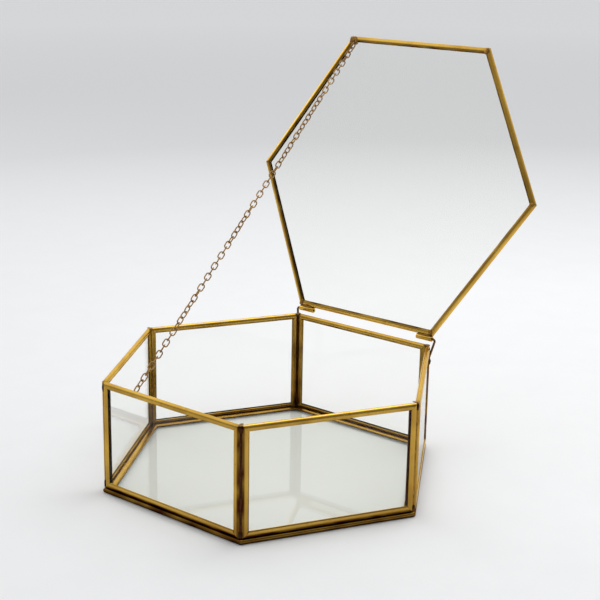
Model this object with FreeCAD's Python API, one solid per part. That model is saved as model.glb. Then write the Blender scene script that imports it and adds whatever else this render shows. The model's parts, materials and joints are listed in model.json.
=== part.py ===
"""Hexagonal glass and brass box: a hinged lid stands open on a stay chain. Millimetres, +Z up.

The origin is the centre of the footprint on the table. The front wall faces -Y and the hinge is at +Y.
"""
import FreeCAD, Part
import math
import os

from FreeCAD import Placement, Rotation, Vector

# Box and panes
SIDE = 110.0  # outer side of the hexagon
RIM_Z = 72.0  # height of the rim over the table
GLASS_T = 2.0  # thickness of every pane
EDGE_PLAY = 0.1  # play between a pane's edge and the web of its strip

# Brass edge strips, folded from sheet into a U over the pane's edge
SHEET = 0.7
LIP = 3.8  # depth of the strip from its back to the edge of its lips
BACK_ROUND = 1.2  # rounding along both edges of the back

# Lid and hinge
OPEN_ANGLE = 106.3  # degrees from shut to where the chain holds the lid
AXIS_OVER_RIM = 3.3  # hinge axis above the rim
TUBE_RADIUS = 1.8
TUBE_BORE = 0.8
TUBE_LENGTH = 12.0
PIN_RADIUS = 0.75
PIN_BEND = 1.5  # bend radius of the pin wire
PIN_OUT = 2.4  # how far the pin stands out of the tube before it turns down
PIN_INSET = 1.0  # other end of the pin, from the tube's inner end
PIN_DROP = 11.0  # lower end of the pin, below the rim

# Solder
BEAD_RADIUS = 1.1  # six-sided beads in the grooves of the corner posts
BEAD_LENGTH = 4.0
BEAD_INSET = 0.3  # from the rim, the floor strips or the end of a hinge pin
PATCH_RADIUS = 1.9  # six-sided patches over the mitres of the lid
PATCH_RISE = 0.25

# Stay chain and its two eyes
EYE_WIRE = 0.9
EYE_STRAIGHT = 1.4  # bars of an eye
EYE_END_RADIUS = 1.2  # centre line of its round ends
RIM_EYE_X = -32.0
RIM_EYE_DROP = 2.5  # below the rim
LID_EYE_X = -50.5
LINK_WIRE = 0.8
LINK_END_RADIUS = 1.6  # centre line of a link's round ends
HOOK = 0.9  # between the wires of two links that pull on each other, centre to centre
WIRE_FLATS = 5  # flats round the wire of links and eyes
END_STEPS = 3  # flats along each of their round ends
RUNS = (14, 16, 15, 6, 4, 14)  # links in each straight run, from the rim to the lid
TWIST = -45.0  # roll of the links in the middle of a run, degrees
TWIST_LINKS = 4  # links over which that roll comes and goes

# Sizes that follow
WALLS = ("front", "front_right", "back_right", "back", "back_left", "front_left")
COS30 = math.cos(math.radians(30))
SIN30 = 0.5
STRIP_W = GLASS_T + 2 * SHEET
HALF_W = STRIP_W / 2
APOTHEM = SIDE * COS30
INNER_APOTHEM = APOTHEM - STRIP_W
INNER_SIDE = INNER_APOTHEM / COS30
PANE_INSET = SHEET + EDGE_PLAY
SQUARE_MITRE = 1.0  # run of the cut along the strip for each unit of depth
HEX_MITRE = math.tan(math.radians(30))
# Neighbouring posts close up by this much at each end, so that their rounded backs touch.
POST_CLOSE = BACK_ROUND * (COS30 + SIN30 - 1) / COS30
FRAME_W = INNER_SIDE + 2 * POST_CLOSE
FRAME_H = RIM_Z - STRIP_W
HINGE = Vector(0, APOTHEM + TUBE_RADIUS, RIM_Z + AXIS_OVER_RIM)
LID_POSE = Placement(HINGE, Rotation(Vector(1, 0, 0), -OPEN_ANGLE)).multiply(
    Placement(Vector(0, -APOTHEM - TUBE_RADIUS, 0), Rotation())
)
RIGHT_HINGE = 2  # corners at the two ends of the back wall
LEFT_HINGE = 3
X_AXIS = Vector(1, 0, 0)
Z_AXIS = Vector(0, 0, 1)


def flat(angle):
    """Level unit vector at an angle from +X, in degrees."""
    return Vector(math.cos(math.radians(angle)), math.sin(math.radians(angle)), 0)


def wall_axes(index):
    """A wall's outward direction, and the direction to the right along it as seen from outside."""
    return flat(60 * index - 90), flat(60 * index)


def corner_direction(index):
    """From the centre to the corner at the right end of a wall."""
    return flat(60 * index - 60)


def placed(shape, origin, x_axis, y_axis):
    """Copy of a shape with its own X and Y turned to the given axes and its zero moved to the origin."""
    turn = Rotation(x_axis, y_axis, x_axis.cross(y_axis), "XYZ")
    result = shape.copy()
    result.Placement = Placement(origin, turn)
    return result


def on_lid(shape):
    """A shape made on the level lid, centred on the lid's middle plane, carried to the open lid."""
    shape.Placement = LID_POSE.multiply(shape.Placement)
    return shape


def polygon_face(points):
    return Part.Face(Part.makePolygon(points + points[:1]))


def strip_outline():
    """Section of a strip: X is zero, Y runs in from the back and Z crosses the pane."""
    r = BACK_ROUND
    bulge = r * (1 - math.sqrt(0.5))
    top = [Vector(0, r, HALF_W), Vector(0, bulge, HALF_W - bulge), Vector(0, 0, HALF_W - r)]
    low = [Vector(0, p.y, -p.z) for p in reversed(top)]
    lip_low = Vector(0, LIP, -HALF_W)
    lip_top = Vector(0, LIP, HALF_W)
    half_slot = GLASS_T / 2
    slot = [
        Vector(0, LIP, -half_slot),
        Vector(0, SHEET, -half_slot),
        Vector(0, SHEET, half_slot),
        Vector(0, LIP, half_slot),
    ]
    corners = [low[2], lip_low] + slot + [lip_top, top[0]]
    edges = [Part.LineSegment(a, b).toShape() for a, b in zip(corners, corners[1:])]
    edges.append(Part.Arc(*top).toShape())
    edges.append(Part.LineSegment(top[2], low[0]).toShape())
    edges.append(Part.Arc(*low).toShape())
    return Part.Face(Part.Wire(Part.__sortEdges__(edges)))


def edge_strip(length, mitre):
    """U strip along X, its back at Y zero, with both ends mitred."""
    bar = strip_outline().extrude(Vector(length, 0, 0))
    cut = mitre * LIP
    plan = [
        Vector(0, 0, -STRIP_W),
        Vector(length, 0, -STRIP_W),
        Vector(length - cut, LIP, -STRIP_W),
        Vector(cut, LIP, -STRIP_W),
    ]
    return bar.common(polygon_face(plan).extrude(Vector(0, 0, 2 * STRIP_W)))


def hexagon_strips():
    """Six mitred strips round a level pane on the plane Z = 0, by wall name."""
    strip = edge_strip(SIDE, HEX_MITRE)
    strips = {}
    for index, wall in enumerate(WALLS):
        out, right = wall_axes(index)
        strips[wall] = placed(strip, out * APOTHEM - right * (SIDE / 2), right, -out)
    return strips


def hexagon_pane():
    """Level hexagonal pane on the plane Z = 0."""
    radius = (APOTHEM - PANE_INSET) / COS30
    points = [corner_direction(i) * radius - Z_AXIS * (GLASS_T / 2) for i in range(len(WALLS))]
    return polygon_face(points).extrude(Z_AXIS * GLASS_T)


def post_place(index, at_right):
    """Origin and axes of the upright strip at one end of a wall."""
    out, right = wall_axes(index)
    middle = out * (APOTHEM - HALF_W)
    if at_right:
        return middle + right * (FRAME_W / 2) + Z_AXIS * STRIP_W, Z_AXIS, -right
    return middle - right * (FRAME_W / 2) + Z_AXIS * RIM_Z, -Z_AXIS, right


def wall_nodes(index):
    """The pane of a wall and the four strips of its frame."""
    wall = WALLS[index]
    out, right = wall_axes(index)
    middle = out * (APOTHEM - HALF_W)
    level = edge_strip(FRAME_W, SQUARE_MITRE)
    upright = edge_strip(FRAME_H, SQUARE_MITRE)
    low_left = middle - right * (FRAME_W / 2) + Z_AXIS * STRIP_W
    high_right = middle + right * (FRAME_W / 2) + Z_AXIS * RIM_Z
    pane_w = FRAME_W - 2 * PANE_INSET
    pane_h = FRAME_H - 2 * PANE_INSET
    pane = Part.makeBox(pane_w, pane_h, GLASS_T, Vector(PANE_INSET, PANE_INSET, -GLASS_T / 2))
    return {
        f"{wall}_glass": placed(pane, low_left, right, Z_AXIS),
        f"{wall}_bottom_strip": placed(level, low_left, right, Z_AXIS),
        f"{wall}_top_strip": placed(level, high_right, -right, -Z_AXIS),
        f"{wall}_post_right": placed(upright, *post_place(index, True)),
        f"{wall}_post_left": placed(upright, *post_place(index, False)),
    }


def floor_nodes():
    """The floor pane and its six strips, which carry the walls."""
    lift = Placement(Z_AXIS * HALF_W, Rotation())
    pane = hexagon_pane()
    pane.Placement = lift
    nodes = {"floor_glass": pane}
    for wall, strip in hexagon_strips().items():
        strip.Placement = lift.multiply(strip.Placement)
        nodes[f"{wall}_floor_strip"] = strip
    return nodes


def lid_nodes():
    """The lid pane, its six strips and the hinge tubes under the ends of the rear strip."""
    nodes = {"lid_glass": hexagon_pane()}
    for wall, strip in hexagon_strips().items():
        nodes[f"{wall}_lid_strip"] = strip
    for name, start in (("left", -SIDE / 2), ("right", SIDE / 2 - TUBE_LENGTH)):
        nodes[f"{name}_hinge_tube"] = hinge_tube(start)
    return nodes


def hinge_tube(start):
    """Tube along the hinge axis of the level lid."""
    origin = Vector(start, APOTHEM + TUBE_RADIUS, 0)
    tube = Part.makeCylinder(TUBE_RADIUS, TUBE_LENGTH, origin, X_AXIS)
    return tube.cut(Part.makeCylinder(TUBE_BORE, TUBE_LENGTH, origin, X_AXIS))


def bent_wire(points, bend, radius):
    """Round wire along straight runs that are joined by tangent bends."""
    section = Part.Face(Part.Wire(Part.makeCircle(radius, points[0], points[1] - points[0])))
    start = points[0]
    pieces = []
    for before, corner, after in zip(points, points[1:], points[2:]):
        back = (before - corner).normalize()
        ahead = (after - corner).normalize()
        turn = math.pi - back.getAngle(ahead)
        bend_start = corner + back * (bend * math.tan(turn / 2))
        centre = corner + (back + ahead).normalize() * (bend / math.cos(turn / 2))
        axis = ahead.cross(back)
        pieces.append(section.extrude(bend_start - start))
        section.translate(bend_start - start)
        pieces.append(section.revolve(centre, axis, math.degrees(turn)))
        section.rotate(centre, axis, math.degrees(turn))
        start = corner + ahead * (bend * math.tan(turn / 2))
    pieces.append(section.extrude(points[-1] - start))
    return pieces[0].multiFuse(pieces[1:]).removeSplitter()


def post_roundings():
    """Axes of the two rounded backs that meet at a corner: way out from the inner corner, and aside."""
    along = BACK_ROUND - POST_CLOSE
    across = STRIP_W - BACK_ROUND
    return COS30 * across - SIN30 * along, COS30 * along + SIN30 * across


def hinge_pin(corner, side):
    """Wire from inside a hinge tube, round its outer end and down to the groove of the corner post."""
    out, aside = post_roundings()
    seat = INNER_SIDE + out + math.sqrt((BACK_ROUND + PIN_RADIUS) ** 2 - aside**2)
    points = [
        HINGE + X_AXIS * side * (SIDE / 2 - TUBE_LENGTH + PIN_INSET),
        HINGE + X_AXIS * side * (SIDE / 2 + PIN_OUT),
        corner_direction(corner) * seat + Z_AXIS * (RIM_Z - PIN_DROP),
    ]
    return bent_wire(points, PIN_BEND, PIN_RADIUS)


def lump(foot, radius, height):
    """Six-sided lump of solder that stands on its foot."""
    outline = [foot + wall_axes(index)[0] * radius for index in range(len(WALLS))]
    return polygon_face(outline).extrude(Z_AXIS * height)


def groove_beads(tops):
    """Solder against both posts of each corner, from the height given for that corner down."""
    out, aside = post_roundings()
    seat = INNER_SIDE + out + (BACK_ROUND + BEAD_RADIUS * COS30 - aside * COS30) / SIN30
    beads = []
    for corner, top in enumerate(tops):
        foot = corner_direction(corner) * seat + Z_AXIS * (top - BEAD_LENGTH)
        beads.append(lump(foot, BEAD_RADIUS, BEAD_LENGTH))
    return Part.makeCompound(beads)


def lid_solder():
    """Patches over the lid's mitres, on the side that faces into the box."""
    reach = SIDE - (LIP + BACK_ROUND) / 2 / COS30
    low = Z_AXIS * (HALF_W + PATCH_RISE)
    feet = [corner_direction(index) * reach - low for index in range(len(WALLS))]
    return Part.makeCompound([lump(foot, PATCH_RADIUS, PATCH_RISE) for foot in feet])


def eye_places():
    """Soldered bar of each eye and the way the eye stands out: on the rim, and on the level lid."""
    rim = Vector(RIM_EYE_X, EYE_WIRE / 2 - INNER_APOTHEM, RIM_Z - RIM_EYE_DROP)
    lid = Vector(LID_EYE_X, EYE_WIRE / 2 + LIP - APOTHEM, -EYE_WIRE / 2 - GLASS_T / 2)
    inward = Vector(0, 1, 0)
    return (rim, inward), (lid, (inward - Z_AXIS).normalize())


def eye(soldered, out):
    """Oval of wire that is soldered along one of its bars, which both lie along X."""
    middle = soldered + out * EYE_END_RADIUS
    return placed(oval(EYE_STRAIGHT, EYE_END_RADIUS, EYE_WIRE), middle, X_AXIS, out)


def eye_bar(soldered, out):
    """Middle of the bar that holds the chain."""
    return soldered + out * (2 * EYE_END_RADIUS)


def wire_ring(path, radius, sides):
    """Closed ring of wire in the XY plane: a section on each corner's mitre, joined by flat faces."""
    rings = []
    for before, corner, after in zip(path[-1:] + path[:-1], path, path[1:] + path[:1]):
        turned_in = (corner - before).normalize()
        turned_out = (after - corner).normalize()
        side = Vector(turned_in.y, -turned_in.x, 0) + Vector(turned_out.y, -turned_out.x, 0)
        side = side * (2 * radius / side.dot(side))
        rise = Z_AXIS * radius
        angles = [2 * math.pi * j / sides for j in range(sides)]
        rings.append([corner + side * math.cos(a) + rise * math.sin(a) for a in angles])
    faces = []
    for ring, following in zip(rings, rings[1:] + rings[:1]):
        for j in range(sides):
            k = (j + 1) % sides
            faces.append(polygon_face([ring[j], following[j], following[k], ring[k]]))
    solid = Part.Solid(Part.Shell(faces))
    if solid.Volume < 0:
        solid.reverse()
    return solid


def oval(straight, end_radius, wire):
    """Oval of wire in the XY plane with its straight sides along X and a flat across each end."""
    path = []
    middle = X_AXIS * (straight / 2 + end_radius * (1 - math.cos(math.radians(90 / END_STEPS))))
    for end in (1, -1):
        for step in range(END_STEPS + 1):
            turn = 180 * step / END_STEPS - 90
            path.append((middle + flat(turn) * end_radius) * end)
    return wire_ring(path, wire / 2, WIRE_FLATS)


def chain_nodes():
    """Runs of links from the rim's eye to the lid's eye. Neighbouring links stand square to each other."""
    rim, lid = eye_places()
    start = eye_bar(*rim)
    along = LID_POSE.multVec(eye_bar(*lid)) - start
    pitch = (along.Length + HOOK) / sum(RUNS)
    length = pitch + HOOK
    along.normalize()
    level = (X_AXIS - along * X_AXIS.dot(along)).normalize()
    link = oval(length - 2 * LINK_END_RADIUS, LINK_END_RADIUS, LINK_WIRE)
    nodes = {}
    number = 0
    for run, count in enumerate(RUNS, 1):
        links = []
        for place in range(count):
            from_end = min(place, count - 1 - place)
            roll = TWIST * min(1.0, from_end / TWIST_LINKS) + 90 * ((number + 1) % 2)
            lateral = Rotation(along, roll).multVec(level)
            middle = start + along * (number * pitch + length / 2 - HOOK)
            links.append(placed(link, middle, along, lateral))
            number += 1
        nodes[f"chain_run_{run}"] = Part.makeCompound(links)
    return nodes


def box_nodes():
    """Everything that stays with the box."""
    nodes = floor_nodes()
    for index in range(len(WALLS)):
        nodes.update(wall_nodes(index))
    nodes["right_hinge_pin"] = hinge_pin(RIGHT_HINGE, 1)
    nodes["left_hinge_pin"] = hinge_pin(LEFT_HINGE, -1)
    rim_tops = [RIM_Z - BEAD_INSET] * len(WALLS)
    for corner in (RIGHT_HINGE, LEFT_HINGE):
        rim_tops[corner] -= PIN_DROP
    nodes["rim_solder"] = groove_beads(rim_tops)
    nodes["floor_solder"] = groove_beads([STRIP_W + BEAD_INSET + BEAD_LENGTH] * len(WALLS))
    nodes["rim_eye"] = eye(*eye_places()[0])
    return nodes


def main():
    os.makedirs("parts", exist_ok=True)
    nodes = box_nodes()
    moving = lid_nodes()
    moving["lid_solder"] = lid_solder()
    moving["lid_eye"] = eye(*eye_places()[1])
    for name, shape in moving.items():
        nodes[name] = on_lid(shape)
    nodes.update(chain_nodes())
    for name, shape in nodes.items():
        shape.exportStep(f"parts/{name}.step")


main()
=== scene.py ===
"""Looks of the hexagonal glass and brass box. Metres, in the frame of the solids."""
import json
import math
import random

import bmesh
import bpy
from mathutils import Matrix, Vector, noise

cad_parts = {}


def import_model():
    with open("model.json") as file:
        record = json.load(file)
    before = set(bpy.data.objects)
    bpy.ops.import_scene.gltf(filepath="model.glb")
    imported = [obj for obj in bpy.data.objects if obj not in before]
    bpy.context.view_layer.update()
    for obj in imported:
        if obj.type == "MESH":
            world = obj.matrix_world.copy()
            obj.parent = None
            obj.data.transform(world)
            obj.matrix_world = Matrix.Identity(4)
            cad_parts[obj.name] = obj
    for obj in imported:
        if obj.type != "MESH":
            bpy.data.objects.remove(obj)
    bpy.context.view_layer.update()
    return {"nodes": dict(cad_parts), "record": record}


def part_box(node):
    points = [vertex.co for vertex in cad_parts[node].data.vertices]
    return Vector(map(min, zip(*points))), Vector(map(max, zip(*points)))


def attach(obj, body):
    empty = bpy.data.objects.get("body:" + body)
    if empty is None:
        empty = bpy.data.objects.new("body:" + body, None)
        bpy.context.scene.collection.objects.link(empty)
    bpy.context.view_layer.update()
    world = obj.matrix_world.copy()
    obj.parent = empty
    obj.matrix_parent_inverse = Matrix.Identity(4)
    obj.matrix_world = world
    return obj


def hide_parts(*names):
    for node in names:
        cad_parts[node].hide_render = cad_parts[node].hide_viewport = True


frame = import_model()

MM = 0.001
X_AXIS = Vector((1, 0, 0))
Y_AXIS = Vector((0, 1, 0))
Z_AXIS = Vector((0, 0, 1))

# Box. Walls and corners are numbered round from the front, and a wall's right end is the corner
# of its number.
SIDE = 110 * MM
HEX_TURN = 60
APOTHEM = SIDE * math.cos(math.radians(30))
RIM_Z = 72 * MM
STRIP_W = 3.4 * MM
HALF_W = STRIP_W / 2
LIP = 3.8 * MM
SQUARE_MITRE = 1.0
HEX_MITRE = math.tan(math.radians(30))
MITRE_GAP = 0.05 * MM
WALLS = ("front", "front_right", "back_right", "back", "back_left", "front_left")
REAR_WALLS = (3, 4, 5)
PANES = [f"{wall}_glass" for wall in WALLS] + ["floor_glass", "lid_glass"]
FRONT_CORNER = 0
HINGE_CORNERS = (2, 3)
LEFT_CORNER = 4
EYE_CORNER = 5

# Half of a strip's section in millimetres: depth from the back, height over the middle of the pane,
# and how
# dark the point is painted: patina with painted shade inside the pane's channel and at the lip's
# inner edge
LIP_EDGE = (
    (3.74, 1.02, 0.8),
    (3.80, 1.08, 0.2),
    (3.77, 1.17, 0.0),
    (3.64, 1.28, 0.0),
    (3.42, 1.41, 0.0),
    (3.12, 1.55, 0.0),
    (2.78, 1.65, 0.0),
)
CREST = 2.4
BACK_STEPS = 10
# Faces of the channel against the glass, painted dark as shade with patina
CHANNEL = ((0.78, -1.02, 1.0), (0.78, 1.02, 0.8))

# How much longer than usual the outer and the inner lip are
EVEN_LIPS = (0.0, 0.0)
POST_LIPS = (0.0, 0.9 * MM)
BOTTOM_LIPS = (0.9 * MM, -1.8 * MM)
REAR_BOTTOM_LIPS = (-1.6 * MM, -1.8 * MM)
FLOOR_LIPS = (4.0 * MM, -1.4 * MM)
# Depths between which a longer lip is stretched
STRETCH_FROM, STRETCH_TO = 1.4 * MM, 3.4 * MM

# How deep a mitre goes on the outer and the inner side of a strip's end
EVEN_END = (LIP, LIP)
FOOT_END = (LIP, LIP + BOTTOM_LIPS[1])
REAR_FOOT_END = (LIP + REAR_BOTTOM_LIPS[0], LIP + REAR_BOTTOM_LIPS[1])
FLOOR_END = (LIP + FLOOR_LIPS[0], LIP)

# Patina and painted shade on the outer and the inner side of each kind of strip: the share of it,
# and the depths in millimetres from which it starts and at which it is full. The shade is painted
# into the posts' grooves, the folds between bottom and floor strips, the faces toward the table and
# the inner lips; the lids get patina with it.
ALL_OVER = (-1.0, 0.0)
POST_FOLD = (0.5, 0.95, 0.25)
FLOOR_EDGE = (0.85, 7.1, 7.7)
# Painted contact shadow on the floor strips' undersides, toward the table
FLOOR_UNDERSIDE = (0.9, 2.4, 1.6)
PATINA_AND_SHADE = {
    "floor": (((0.66, 2.0, 1.2), FLOOR_EDGE), (FLOOR_UNDERSIDE,)),
    # The front floor strip's outer face is darker: a painted reflection of shaded table in front
    "front_floor": (((0.86, 2.0, 1.2), FLOOR_EDGE), (FLOOR_UNDERSIDE,)),
    "bottom": (((0.97, 2.7, 1.9),), ((0.4, *ALL_OVER),)),
    "rear_bottom": (((0.97, 1.2, 0.7),), ((0.4, *ALL_OVER),)),
    "lid": ((), ((0.88, 2.2, 3.2),)),
    "top": (((0.35, 1.2, 2.2),), ((0.75, 1.9, 3.2),)),
    "post": (((0.3, *ALL_OVER), POST_FOLD), ((0.55, *ALL_OVER), POST_FOLD)),
    "front_post": (((0.3, *ALL_OVER), (0.92, 1.9, 0.9)), ((0.55, *ALL_OVER), (0.92, 1.9, 0.9))),
    # The hinge posts' outer side is dark all over: painted shade
    "hinge_post": (((0.88, *ALL_OVER),), ((0.55, *ALL_OVER), POST_FOLD)),
}

# Rings of a strip's mesh, and its hand-pressed waver
RING_ENDS = (0.0, 0.8 * MM, 1.8 * MM, 3.2 * MM, 5.5 * MM)
RING_STEP = 6 * MM
WAVER = 0.05 * MM
WAVER_SCALE = 90
# Stain that spreads from a soldered end
END_STAIN = 0.5
END_STAIN_REACH = 3 * MM
# Middle, swing and scale of the speckle in that stain and in the patina and painted shade
END_SPECKLE = (0.7, 0.6, 300)
PATINA_AND_SHADE_SPECKLE = (0.9, 0.5, 120)
# Tint of the brass's reflections where it is clean and where it is stained or painted shaded
CLEAN_TINT, STAIN_AND_SHADE_TINT = (1.0, 0.82, 0.45), (0.2, 0.1, 0.06)

# Hinge
OPEN_ANGLE = 106.3
TUBE_RADIUS = 1.8 * MM
TUBE_BORE = 0.8 * MM
TUBE_LENGTH = 12 * MM
# Distance from the tube's end and radius, from the bore to the outside
TUBE_END = ((0.3 * MM, TUBE_BORE), (0.0, 1.3 * MM), (0.08 * MM, 1.68 * MM), (0.3 * MM, TUBE_RADIUS))
TUBE_SIDES = 40
TUBE_SEAM_SIDE = 12
TUBE_SEAM_DEPTH = 0.12 * MM

# Chain
RUNS = (14, 16, 15, 6, 4, 14)
HOOK = 0.9 * MM
LINK_WIRE = 0.8 * MM
LINK_END = 1.6 * MM
EYE_WIRE = 0.9 * MM
EYE_END = 1.2 * MM
EYE_STRAIGHT = 1.4 * MM
TWIST = -45.0
TWIST_LINKS = 4
WIRE_SIDES = 9
WIRE_STEPS = 9

# Solder. Radii are in millimetres: away from the box's middle, across, and up.
GROOVE_INSET = 1.9 * MM
HINGE_BEAD_INSET = 0.9 * MM
HINGE_BEAD_DROP = 11.6 * MM
HINGE_BEAD = (1.5, 1.5)
RIM_BEAD = (1.0, 1.2)
RIM_BEAD_RISE = (2.0, 3.0)
RIM_BEAD_DROP = 1.3
FLOOR_BEAD = (1.1, 1.3)
FLOOR_BEAD_RISE = (1.8, 2.8)
CAP_INSET = 2.8 * MM
CAP_SINK = 0.08 * MM
CAP_LENGTH = 2.2
CAP_WIDTH = (1.2, 2.2)
CAP_THICK = 0.16
SEAM_INSET = 2.9 * MM
SEAM_RADIUS = 1.15 * MM
SEAM_STEPS = 24
SEAM_SIDES = 10
SEAM_DROP = 0.6 * MM
EYE_SEAM_DROP = 5 * MM
# Corners whose seams take the near-black solder: patina with the painted shade of their deep grooves
DARK_SEAMS = (FRONT_CORNER, *HINGE_CORNERS)
PATCH_INSET = 2.7 * MM
PATCH_HEIGHT = HALF_W - 0.05 * MM
LID_PATCHES = {
    0: (2.2, 1.7, 0.34),
    1: (1.6, 1.2, 0.25),
    2: (1.9, 1.5, 0.3),
    3: (1.9, 1.4, 0.3),
    4: (1.2, 0.6, 0.2),
}
# Millimetres in from the corner and to its side, and radii
EYE_PATCHES = (
    (2.6, 0.0, (1.9, 2.0, 0.24)),
    (3.4, 2.3, (1.6, 1.2, 0.26)),
    (3.8, -1.8, (1.2, 1.1, 0.22)),
)
EYE_LUMP = (1.2, 1.3, 0.6)
FILLET = (5.2, 0.75, 0.45)
FILLET_OUT = 0.2 * MM
FILLET_UP = 1.25 * MM

# Camera at the photograph's viewing angle
LENS = 80.31
SENSOR = 36
CAMERA_PLACE = (0.5005, -0.6141, 0.3448)
CAMERA_FORWARD = (-0.5911, 0.7560, -0.2810)
CAMERA_UP = (-0.1873, 0.2102, 0.9595)

# Floor: the middle of a painted pool of light, and colours with the distances from that place at
# which they come in; the grey is painted falloff
FLOOR_SIZE = 6.0
BRIGHTEST = (0.09, 0.30, 0.0)
PAPER = ((0.94, 0.94, 0.945), (0.96, 0.96, 0.965))
FALLOFF_GREY, GREY_REACH = (0.70, 0.70, 0.705), (0.25, 1.1)
FAR_PAPER, FAR_REACH = (0.82, 0.82, 0.825), (1.2, 3.2)

# Light
LAMP_TARGET = (0, 0, 0.1)
SKY_WAY = (-0.5, 0.45, 0.74)
SKY_SPREAD = (-0.05, 0.6)
SKY_LEVELS = (0.2, 1.04)
HORIZON_BAND = (0.02, 0.12)
HORIZON_LEVEL = 0.48
SKY_COLOUR = (0.98, 0.99, 1, 1)

RANGE_SOCKETS = ("From Min", "From Max", "To Min", "To Max")
PIVOTS = {joint["name"]: joint for joint in frame["record"]["behaviour"]["joints"]}


def pivot(name):
    return Vector(PIVOTS[name]["pos_m"])


# Carries what is made on a level lid to the open lid
LID = (
    Matrix.Translation(pivot("lid_hinge"))
    @ Matrix.Rotation(math.radians(-OPEN_ANGLE), 4, "X")
    @ Matrix.Translation((0, -APOTHEM - TUBE_RADIUS, 0))
)


# Materials


class Shader:
    """A material with a Principled shader and short calls for the nodes round it."""

    def __init__(self, name):
        self.mat = bpy.data.materials.new(name)
        self.mat.use_nodes = True
        self.tree = self.mat.node_tree
        self.nodes = self.tree.nodes
        self.surface = self.nodes["Principled BSDF"]
        self.place = self.add("ShaderNodeTexCoord").outputs["Object"]

    def add(self, kind, **values):
        node = self.nodes.new(kind)
        for key, value in values.items():
            setattr(node, key, value)
        return node

    def link(self, out, into):
        self.tree.links.new(out, into)

    def noise(self, scale, detail=4.0, rough=0.55, squeeze=(1, 1, 1)):
        mapping = self.add("ShaderNodeMapping")
        mapping.inputs["Scale"].default_value = squeeze
        self.link(self.place, mapping.inputs["Vector"])
        node = self.add("ShaderNodeTexNoise")
        node.inputs["Scale"].default_value = scale
        node.inputs["Detail"].default_value = detail
        node.inputs["Roughness"].default_value = rough
        self.link(mapping.outputs["Vector"], node.inputs["Vector"])
        return node.outputs["Fac"]

    def fit(self, value, low, high, to_low=0.0, to_high=1.0):
        node = self.add("ShaderNodeMapRange")
        self.link(value, node.inputs["Value"])
        for key, number in zip(RANGE_SOCKETS, (low, high, to_low, to_high)):
            node.inputs[key].default_value = number
        return node.outputs["Result"]

    def mix(self, share, first, second):
        node = self.add("ShaderNodeMix", data_type="RGBA")
        self.link(share, node.inputs[0])
        for socket, colour in ((node.inputs[6], first), (node.inputs[7], second)):
            if isinstance(colour, tuple):
                socket.default_value = (*colour, 1)
            else:
                self.link(colour, socket)
        return node.outputs[2]

    def bump(self, height, strength, distance):
        node = self.add("ShaderNodeBump")
        node.inputs["Strength"].default_value = strength
        node.inputs["Distance"].default_value = distance
        self.link(height, node.inputs["Height"])
        self.link(node.outputs["Normal"], self.surface.inputs["Normal"])

    def open_share(self, distance):
        """How open the space over each point is, from 0 to 1."""
        node = self.add("ShaderNodeAmbientOcclusion", samples=8)
        node.inputs["Distance"].default_value = distance
        return node.outputs["AO"]

    def painted(self, name):
        """A share that is stored with the mesh."""
        return self.add("ShaderNodeAttribute", attribute_name=name).outputs["Fac"]

    def height(self):
        split = self.add("ShaderNodeSeparateXYZ")
        self.link(self.place, split.inputs["Vector"])
        return split.outputs["Z"]

    def set(self, name, value):
        self.surface.inputs[name].default_value = value

    def feed(self, name, value):
        self.link(value, self.surface.inputs[name])


def brass(name, bright, dull, dark, rough):
    """Lacquered brass with dull patches, darker near the table, in stains and patina, and with
    painted shade in channels, grooves and tight folds.
    """
    s = Shader(name)
    colour = s.mix(s.fit(s.noise(28, 3), 0.42, 0.68, 0.0, 0.65), bright, dull)
    colour = s.mix(s.fit(s.noise(160, 5, 0.65), 0.56, 0.72, 0.0, 0.5), colour, dull)
    colour = s.mix(s.fit(s.height(), 0.0, 30 * MM, 0.25, 0.0), colour, dark)
    # Stored share of solder stain, patina and painted shade; it also dims the tint and the coat
    stain_and_shade = s.painted("stain_and_shade")
    colour = s.mix(stain_and_shade, colour, dark)
    # Painted shade, with patina, in tight folds and channels, where little of the space over a point
    # is open
    colour = s.mix(s.fit(s.open_share(3 * MM), 0.12, 0.55, 1.0, 0.0), colour, dark)
    s.feed("Base Color", colour)
    s.feed("Specular Tint", s.mix(stain_and_shade, CLEAN_TINT, STAIN_AND_SHADE_TINT))
    s.set("Metallic", 1.0)
    s.feed("Coat Weight", s.fit(stain_and_shade, 0.0, 0.8, 0.3, 0.0))
    s.set("Coat Roughness", 0.12)
    s.feed("Roughness", s.fit(s.noise(120, 4), 0.3, 0.7, rough - 0.07, rough + 0.09))
    s.bump(s.noise(420, 3), 0.2, 0.06 * MM)
    return s.mat


def solder(name, brown, dark, pale):
    """Dull lumpy solder with a brown to black patina, and painted shade in its crevices."""
    s = Shader(name)
    colour = s.mix(s.fit(s.noise(350, 6, 0.65), 0.35, 0.65), brown, dark)
    colour = s.mix(s.fit(s.noise(700, 3), 0.62, 0.78), colour, pale)
    # Painted shade in crevices and grooves, where little of the space over a point is open
    colour = s.mix(s.fit(s.open_share(2.5 * MM), 0.3, 0.85, 0.9, 0.0), colour, dark)
    s.feed("Base Color", colour)
    s.set("Metallic", 0.9)
    s.feed("Roughness", s.fit(s.noise(500, 4), 0.3, 0.7, 0.36, 0.6))
    s.bump(s.noise(1100, 4), 0.6, 0.2 * MM)
    return s.mat


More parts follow.
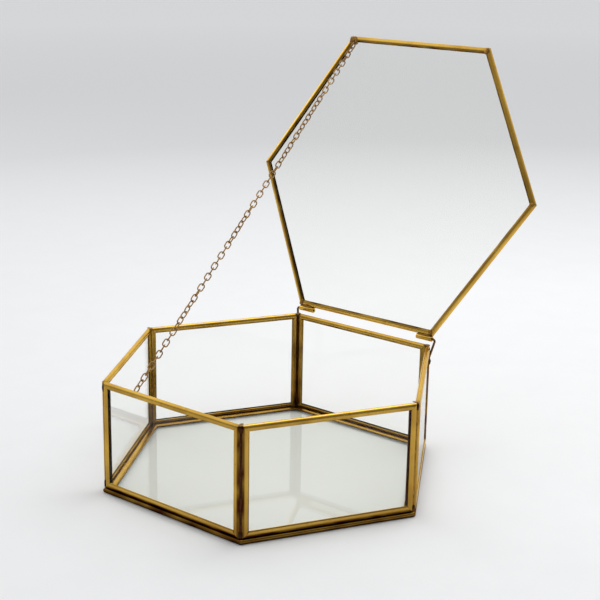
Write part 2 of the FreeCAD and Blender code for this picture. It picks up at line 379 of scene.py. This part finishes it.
def glass():
    """Clear float glass that lets lamp light through, with a faint green cast and wipe marks."""
    s = Shader("clear_glass")
    s.set("Base Color", (0.980, 0.985, 0.973, 1))
    s.set("Transmission Weight", 1.0)
    s.set("IOR", 1.22)
    s.feed("Roughness", s.fit(s.noise(40, 5, 0.6, (1, 1, 0.3)), 0.45, 0.8, 0.0, 0.04))
    s.bump(s.noise(9, 2), 0.02, 1 * MM)
    through = s.add("ShaderNodeBsdfTransparent")
    through.inputs["Color"].default_value = (0.93, 0.935, 0.91, 1)
    path = s.add("ShaderNodeLightPath")
    seen = s.surface.outputs["BSDF"]
    for ray in ("Is Shadow Ray", "Is Diffuse Ray"):
        either = s.add("ShaderNodeMixShader")
        s.link(path.outputs[ray], either.inputs["Fac"])
        s.link(seen, either.inputs[1])
        s.link(through.outputs["BSDF"], either.inputs[2])
        seen = either.outputs["Shader"]
    s.link(seen, s.nodes["Material Output"].inputs["Surface"])
    return s.mat


BRASS = brass("strip_brass", (0.72, 0.44, 0.07), (0.42, 0.205, 0.02), (0.042, 0.010, 0.003), 0.2)
# Pins: brass much darker than the strips, with the thin wires' shade painted in
PIN_BRASS = brass("pin_brass", (0.20, 0.095, 0.03), (0.08, 0.035, 0.012), (0.03, 0.010, 0.005), 0.3)
CHAIN_BRASS = brass(
    "chain_brass", (0.40, 0.235, 0.085), (0.17, 0.085, 0.03), (0.03, 0.012, 0.006), 0.34
)
# Near-black solder for beads and groove seams: patina with the grooves' shade painted in
SHADED_SEAM_SOLDER = solder("shaded_seam_solder", (0.09, 0.03, 0.011), (0.02, 0.005, 0.003), (0.18, 0.085, 0.035))
BROWN_SOLDER = solder("brown_solder", (0.46, 0.25, 0.05), (0.13, 0.055, 0.015), (0.60, 0.40, 0.15))
GLASS = glass()


def dress_nodes():
    """Gives each node of the solids its finished material."""
    for name, node in frame["nodes"].items():
        finish = GLASS if name in PANES else PIN_BRASS
        for slot in node.material_slots:
            slot.material = finish


# Pieces


def piece(name, bm, body, slot, finish, *nodes):
    """Turns a bmesh into a smooth object that rides on a body and stands for nodes of the solids."""
    mesh = bpy.data.meshes.new(name)
    bmesh.ops.recalc_face_normals(bm, faces=bm.faces)
    bm.to_mesh(mesh)
    bm.free()
    mesh.polygons.foreach_set("use_smooth", [True] * len(mesh.polygons))
    mesh.set_sharp_from_angle(angle=math.radians(50))
    mesh.materials.append(finish)
    obj = bpy.data.objects.new(name, mesh)
    bpy.context.scene.collection.objects.link(obj)
    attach(obj, body)
    if nodes:
        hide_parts(*nodes)


def skin(bm, rings, closed):
    """Faces between rings of as many points each; a row that isn't closed gets end caps."""
    following = rings[1:] + rings[:1] if closed else rings[1:]
    for ring, after in zip(rings, following):
        for k in range(len(ring)):
            j = (k + 1) % len(ring)
            bm.faces.new((ring[k], ring[j], after[j], after[k]))
    if not closed:
        bm.faces.new(rings[0])
        bm.faces.new(rings[-1])


def axes_at(origin, along, inward):
    turn = Matrix((along, inward, along.cross(inward))).transposed()
    return Matrix.Translation(origin) @ turn.to_4x4()


def flat(angle):
    return Vector((math.cos(math.radians(angle)), math.sin(math.radians(angle)), 0))


def corner_angle(index):
    return HEX_TURN * (index - 1)


def corner(index):
    return flat(corner_angle(index))


# Strips


def ramp(value, low, high):
    """Share of the way from low to high, within 0 and 1."""
    return min(1.0, max(0.0, (value - low) / (high - low)))


def shares(length):
    """Places of a strip's rings along it, closer together toward both ends."""
    ends = list(RING_ENDS)
    count = round((length - 2 * ends[-1]) / RING_STEP)
    step = (length - 2 * ends[-1]) / count
    middle = [ends[-1] + step * k for k in range(1, count)]
    return [x / length for x in ends + middle + [length - x for x in reversed(ends)]]


def stretch(depth, more):
    """How far a point moves when its lip gets longer or its half of the strip gets shallower."""
    return more * (ramp(depth, STRETCH_FROM, STRETCH_TO) if more > 0 else depth / LIP)


def section(lips):
    """Outline of a strip: the outer lip, an oval back, the inner lip and the pane's channel."""
    half = [(u * MM, v * MM, stain_and_shade) for u, v, stain_and_shade in LIP_EDGE]
    for k in range(BACK_STEPS):
        turn = math.pi / 2 * (1 + k / BACK_STEPS)
        half.append((CREST * MM * (1 + math.cos(turn)), HALF_W * math.sin(turn), 0.0))
    outer, inner = ([(u + stretch(u, more), v, stain_and_shade) for u, v, stain_and_shade in half] for more in lips)
    inner = [(u, -v, stain_and_shade) for u, v, stain_and_shade in reversed(inner)]
    channel = [(u * MM, v * MM, stain_and_shade) for u, v, stain_and_shade in CHANNEL]
    return outer + [(0.0, 0.0, 0.0)] + inner + channel


def patina_and_shade(kind, depth, height):
    """Share of patina and painted shade on a strip's surface, by the kind of strip, the depth and
    the side of the pane.
    """
    ramps = PATINA_AND_SHADE[kind][height < 0]
    return max((share * ramp(depth, low * MM, high * MM) for share, low, high in ramps), default=0.0)


def speckle(spot, middle, swing, scale):
    return middle + swing * noise.noise(spot * scale)


def strip(
    name, body, length, mitre, place, kind, lips=EVEN_LIPS, first_end=EVEN_END, last_end=EVEN_END
):
    """Brass strip folded over a pane's edge: crowned lips, mitred ends, a hand-pressed waver."""
    bm = bmesh.new()
    layer = bm.verts.layers.float.new("stain_and_shade")
    turn = place.to_3x3()
    rings = []
    for share in shares(length):
        ring = []
        for u, v, inside in section(lips):
            first, last = (mitre * min(u, end[v < 0]) + MITRE_GAP for end in (first_end, last_end))
            x = first + share * (length - first - last)
            spot = place @ Vector((x, u, v))
            waver = noise.noise(spot * WAVER_SCALE) * WAVER
            vert = bm.verts.new(spot - turn @ Vector((0, waver * (u / LIP), waver * v / HALF_W)))
            fade = math.exp(-min(x, length - x) / END_STAIN_REACH)
            joint = END_STAIN * fade * speckle(spot, *END_SPECKLE)
            fold = patina_and_shade(kind, u, v) * speckle(spot, *PATINA_AND_SHADE_SPECKLE)
            # Darkest of the channel's painted shade, the stain from a soldered end, and the patina
            # and painted shade by kind
            vert[layer] = min(1.0, max(inside, joint, fold))
            ring.append(vert)
        rings.append(ring)
    skin(bm, rings, False)
    piece(f"{name}_rolled", bm, body, "brass", BRASS, name)


def post_look(index):
    """Patina, painted shade and lips of the two posts at a corner."""
    if index in HINGE_CORNERS:
        kind = "hinge_post"
    else:
        kind = "front_post" if index == FRONT_CORNER else "post"
    return kind, EVEN_LIPS if index == LEFT_CORNER else POST_LIPS


def strips():
    """Four strips round each wall's pane, six round the floor and six round the lid."""
    low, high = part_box("front_top_strip")
    frame_w = high[0] - low[0]
    frame_h = RIM_Z - STRIP_W
    up = Z_AXIS * frame_h
    for index, wall in enumerate(WALLS):
        out, right = flat(HEX_TURN * index - 90), flat(HEX_TURN * index)
        edge = axes_at(out * APOTHEM - right * (SIDE / 2), right, -out)
        low_edge = Matrix.Translation(Z_AXIS * HALF_W) @ edge
        floor_look = ("front_floor" if index == 0 else "floor", FLOOR_LIPS, FLOOR_END, FLOOR_END)
        strip(f"{wall}_floor_strip", "box", SIDE, HEX_MITRE, low_edge, *floor_look)
        strip(f"{wall}_lid_strip", "lid", SIDE, HEX_MITRE, LID @ edge, "lid")
        if index in REAR_WALLS:
            bottom_look, foot = ("rear_bottom", REAR_BOTTOM_LIPS), REAR_FOOT_END
        else:
            bottom_look, foot = ("bottom", BOTTOM_LIPS), FOOT_END
        left_low = out * (APOTHEM - HALF_W) - right * (frame_w / 2) + Z_AXIS * STRIP_W
        right_low = left_low + right * frame_w
        right_look = (*post_look(index), foot, EVEN_END)
        left_look = (*post_look((index - 1) % 6), EVEN_END, foot)
        for name, length, origin, along, inward, look in (
            ("bottom_strip", frame_w, left_low, right, Z_AXIS, bottom_look),
            ("top_strip", frame_w, right_low + up, -right, -Z_AXIS, ("top",)),
            ("post_right", frame_h, right_low, Z_AXIS, -right, right_look),
            ("post_left", frame_h, left_low + up, -Z_AXIS, right, left_look),
        ):
            place = axes_at(origin, along, inward)
            strip(f"{wall}_{name}", "box", length, SQUARE_MITRE, place, *look)


# Hinge


def hinge_tubes():
    """Tubes rolled from sheet, with a sunk seam and softened ends."""
    path = list(TUBE_END)
    path += [(TUBE_LENGTH - x, r) for x, r in reversed(path)]
    for name, start in (("left", -SIDE / 2), ("right", SIDE / 2 - TUBE_LENGTH)):
        bm = bmesh.new()
        origin = Vector((start, APOTHEM + TUBE_RADIUS, 0))
        rings = []
        for k in range(TUBE_SIDES):
            turn = 2 * math.pi * k / TUBE_SIDES
            sunk = TUBE_SEAM_DEPTH if k == TUBE_SEAM_SIDE else 0.0
            way = Vector((0, math.cos(turn), math.sin(turn)))
            line = [origin + X_AXIS * x + way * (r - sunk) for x, r in path]
            rings.append([bm.verts.new(LID @ point) for point in line])
        skin(bm, rings, True)
        piece(f"{name}_hinge_tube_rolled", bm, "lid", "brass", BRASS, f"{name}_hinge_tube")


# Chain


def wire_oval(bm, origin, along, lateral, straight, end_radius, wire):
    """Oval of round wire round the origin, with its straight sides along one axis."""
    rings = []
    up = along.cross(lateral)
    for end in (1, -1):
        for step in range(WIRE_STEPS + 1):
            turn = math.pi * (step / WIRE_STEPS - 0.5)
            out = (along * math.cos(turn) + lateral * math.sin(turn)) * end
            centre = origin + along * (end * straight / 2) + out * end_radius
            ring = []
            for k in range(WIRE_SIDES):
                angle = 2 * math.pi * k / WIRE_SIDES
                way = out * math.cos(angle) + up * math.sin(angle)
                ring.append(bm.verts.new(centre + way * (wire / 2)))
            rings.append(ring)
    skin(bm, rings, True)


def chain():
    """Oval links from eye to eye, square to their neighbours, with each run twisted along it."""
    start = pivot("chain_1_fold")
    along = pivot("chain_6_fold") - start
    pitch = (along.length + HOOK) / sum(RUNS)
    length = pitch + HOOK
    along.normalize()
    level = (X_AXIS - along * along.x).normalized()
    number = 0
    for run, count in enumerate(RUNS, 1):
        bm = bmesh.new()
        for place in range(count):
            from_end = min(place, count - 1 - place)
            roll = TWIST * min(1.0, from_end / TWIST_LINKS) + 90 * ((number + 1) % 2)
            lateral = Matrix.Rotation(math.radians(roll), 3, along) @ level
            middle = start + along * (number * pitch + length / 2 - HOOK)
            wire_oval(bm, middle, along, lateral, length - 2 * LINK_END, LINK_END, LINK_WIRE)
            number += 1
        piece(f"chain_links_{run}", bm, f"chain_{run}", "chain", CHAIN_BRASS, f"chain_run_{run}")


def lid_eye_way():
    """Way in which the lid's eye points, from its solder to the chain."""
    return (LID.to_3x3() @ (Y_AXIS - Z_AXIS)).normalized()


def eyes():
    """Wire ovals that hold the chain's ends, each soldered along one bar."""
    for name, body, out, bar in (
        ("rim_eye", "box", Y_AXIS, pivot("chain_1_fold")),
        ("lid_eye", "lid", lid_eye_way(), pivot("chain_6_fold")),
    ):
        bm = bmesh.new()
        wire_oval(bm, bar - out * EYE_END, X_AXIS, out, EYE_STRAIGHT, EYE_END, EYE_WIRE)
        piece(f"{name}_wire", bm, body, "brass", CHAIN_BRASS, name)


# Solder


def blob(bm, centre, axes, radii, seed, rough=0.25):
    """Lump of solder: a ball that is squashed along three axes and roughened."""
    made = bmesh.ops.create_icosphere(bm, subdivisions=3, radius=1.0)
    shift = Vector((seed * 3.7, seed * 1.3, seed * 2.1))
    for vert in made["verts"]:
        coarse = noise.noise(vert.co * 1.8 + shift)
        fine = noise.noise(vert.co * 5 + shift)
        local = vert.co * (1 + rough * coarse + 0.4 * rough * fine)
        moved = (axis * (local[k] * radii[k] * MM) for k, axis in enumerate(axes))
        vert.co = centre + sum(moved, Vector())


def seam(bm, index, top):
    """Thin run of solder down the bottom of a corner's groove."""
    middle = corner(index) * (SIDE - SEAM_INSET)
    rings = []
    for k in range(SEAM_STEPS + 1):
        z = STRIP_W + (top - STRIP_W) * k / SEAM_STEPS
        ring = []
        for j in range(SEAM_SIDES):
            way = flat(corner_angle(index) + 360 / SEAM_SIDES * j)
            lumps = noise.noise(Vector((index * 5 + way.x, way.y, z * 160)))
            swell = SEAM_RADIUS * (1 + 0.25 * lumps)
            ring.append(bm.verts.new(middle + way * swell + Z_AXIS * z))
        rings.append(ring)
    skin(bm, rings, False)


def box_solder():
    """Seams and beads in the grooves of the corner posts, and thin caps over the rim's corners."""
    random.seed(4)
    rim = bmesh.new()
    caps = bmesh.new()
    foot = bmesh.new()
    for index in range(6):
        out = corner(index)
        axes = (out, Z_AXIS.cross(out), Z_AXIS)
        groove = out * (SIDE - GROOVE_INSET)
        rise = random.uniform(*RIM_BEAD_RISE)
        if index in HINGE_CORNERS:
            spot = out * (SIDE - HINGE_BEAD_INSET) + Z_AXIS * (RIM_Z - HINGE_BEAD_DROP)
            blob(rim, spot, axes, (*HINGE_BEAD, rise), index)
        else:
            spot = groove + Z_AXIS * (RIM_Z - RIM_BEAD_DROP * rise * MM)
            blob(rim, spot, axes, (*RIM_BEAD, rise), index)
        if index != EYE_CORNER:
            spot = out * (SIDE - CAP_INSET) + Z_AXIS * (RIM_Z - CAP_SINK)
            radii = (CAP_LENGTH, random.uniform(*CAP_WIDTH), CAP_THICK)
            blob(caps, spot, axes, radii, index + 7, 0.4)
        seam_top = RIM_Z - (EYE_SEAM_DROP if index == EYE_CORNER else SEAM_DROP)
        seam(rim if index in DARK_SEAMS else caps, index, seam_top)
        rise = random.uniform(*FLOOR_BEAD_RISE)
        spot = groove + Z_AXIS * (STRIP_W + rise * MM)
        blob(foot, spot, axes, (*FLOOR_BEAD, rise), index + 13)
    piece("rim_solder_beads", rim, "box", "solder", SHADED_SEAM_SOLDER, "rim_solder")
    piece("rim_solder_caps", caps, "box", "solder", BROWN_SOLDER)
    piece("floor_solder_beads", foot, "box", "solder", SHADED_SEAM_SOLDER, "floor_solder")


def lid_solder():
    """Patches over the lid's mitres and round the chain's eye, and fillets along the hinge tubes."""
    bm = bmesh.new()
    turn = LID.to_3x3()
    low = Z_AXIS * PATCH_HEIGHT
    for index, radii in LID_PATCHES.items():
        out = corner(index)
        axes = [turn @ axis for axis in (out, Z_AXIS.cross(out), Z_AXIS)]
        blob(bm, LID @ (out * (SIDE - PATCH_INSET) - low), axes, radii, index + 20, 0.45)
    out = corner(EYE_CORNER)
    axes = [turn @ axis for axis in (out, Z_AXIS.cross(out), Z_AXIS)]
    for inset, aside, radii in EYE_PATCHES:
        spot = out * (SIDE - inset * MM) + Z_AXIS.cross(out) * (aside * MM) - low
        blob(bm, LID @ spot, axes, radii, inset, 0.5)
    blob(bm, pivot("chain_6_fold") - lid_eye_way() * (2 * EYE_END), axes, EYE_LUMP, 31, 0.4)
    axes = (X_AXIS, turn @ Y_AXIS, turn @ Z_AXIS)
    for middle in (-SIDE / 2 + TUBE_LENGTH / 2, SIDE / 2 - TUBE_LENGTH / 2):
        for side in (1, -1):
            spot = LID @ Vector((middle, APOTHEM + FILLET_OUT, side * FILLET_UP))
            blob(bm, spot, axes, FILLET, 40 + middle + side)
    piece("lid_solder_patches", bm, "lid", "solder", BROWN_SOLDER, "lid_solder")


# Stage


def camera():
    data = bpy.data.cameras.new("photo_camera")
    data.lens = LENS
    data.sensor_width = SENSOR
    data.clip_start = 0.01
    obj = bpy.data.objects.new("photo_camera", data)
    forward = Vector(CAMERA_FORWARD).normalized()
    right = forward.cross(Vector(CAMERA_UP)).normalized()
    up = right.cross(forward)
    turn = Matrix((right, up, -forward)).transposed()
    obj.matrix_world = Matrix.Translation(CAMERA_PLACE) @ turn.to_4x4()
    bpy.context.scene.collection.objects.link(obj)
    bpy.context.scene.camera = obj


def lamp(name, place, size, power):
    data = bpy.data.lights.new(name, "AREA")
    data.size = size
    data.energy = power
    obj = bpy.data.objects.new(name, data)
    obj.location = place
    way = Vector(LAMP_TARGET) - Vector(place)
    obj.rotation_euler = way.to_track_quat("-Z", "Y").to_euler()
    bpy.context.scene.collection.objects.link(obj)


def floor():
    """Pale paper with a painted pool of light behind the box, turning grey away from it as painted
    falloff.
    """
    bm = bmesh.new()
    bmesh.ops.create_grid(bm, x_segments=2, y_segments=2, size=FLOOR_SIZE)
    mesh = bpy.data.meshes.new("floor")
    bm.to_mesh(mesh)
    bm.free()
    obj = bpy.data.objects.new("floor", mesh)
    bpy.context.scene.collection.objects.link(obj)
    s = Shader("floor_paper")
    s.set("Roughness", 0.8)
    s.set("Specular IOR Level", 0.2)
    shifted = s.add("ShaderNodeVectorMath", operation="SUBTRACT")
    shifted.inputs[1].default_value = BRIGHTEST
    s.link(s.place, shifted.inputs[0])
    length = s.add("ShaderNodeVectorMath", operation="LENGTH")
    s.link(shifted.outputs["Vector"], length.inputs[0])
    away = length.outputs["Value"]
    near = s.mix(s.fit(s.noise(30, 4), 0.3, 0.7), *PAPER)
    grey = s.mix(s.fit(away, *GREY_REACH), near, FALLOFF_GREY)
    s.feed("Base Color", s.mix(s.fit(away, *FAR_REACH), grey, FAR_PAPER))
    mesh.materials.append(s.mat)


def world():
    """Light that is bright above and behind the box, dim on the viewer's side and grey below."""
    sky = bpy.data.worlds.new("studio")
    bpy.context.scene.world = sky
    sky.use_nodes = True
    nodes, links = sky.node_tree.nodes, sky.node_tree.links
    way = nodes.new("ShaderNodeTexCoord").outputs["Generated"]
    lean = nodes.new("ShaderNodeVectorMath")
    lean.operation = "DOT_PRODUCT"
    lean.inputs[1].default_value = Vector(SKY_WAY).normalized()
    links.new(way, lean.inputs[0])
    bright = nodes.new("ShaderNodeMapRange")
    bright.interpolation_type = "SMOOTHSTEP"
    for name, value in zip(RANGE_SOCKETS, (*SKY_SPREAD, *SKY_LEVELS)):
        bright.inputs[name].default_value = value
    links.new(lean.outputs["Value"], bright.inputs["Value"])
    split = nodes.new("ShaderNodeSeparateXYZ")
    links.new(way, split.inputs["Vector"])
    horizon = nodes.new("ShaderNodeMapRange")
    for name, value in zip(RANGE_SOCKETS, (*HORIZON_BAND, 1.0, 0.0)):
        horizon.inputs[name].default_value = value
    links.new(split.outputs["Z"], horizon.inputs["Value"])
    level = nodes.new("ShaderNodeMix")
    links.new(horizon.outputs["Result"], level.inputs[0])
    links.new(bright.outputs["Result"], level.inputs[2])
    level.inputs[3].default_value = HORIZON_LEVEL
    links.new(level.outputs[0], nodes["Background"].inputs["Strength"])
    nodes["Background"].inputs["Color"].default_value = SKY_COLOUR


dress_nodes()
strips()
hinge_tubes()
chain()
eyes()
box_solder()
lid_solder()
camera()
floor()
world()
lamp("key_lamp", (0.3, 0.75, 1.6), 1.0, 6.2)
lamp("side_lamp", (-1.3, 0.1, 0.7), 0.6, 1.6)
bpy.context.scene.view_settings.view_transform = "Standard"
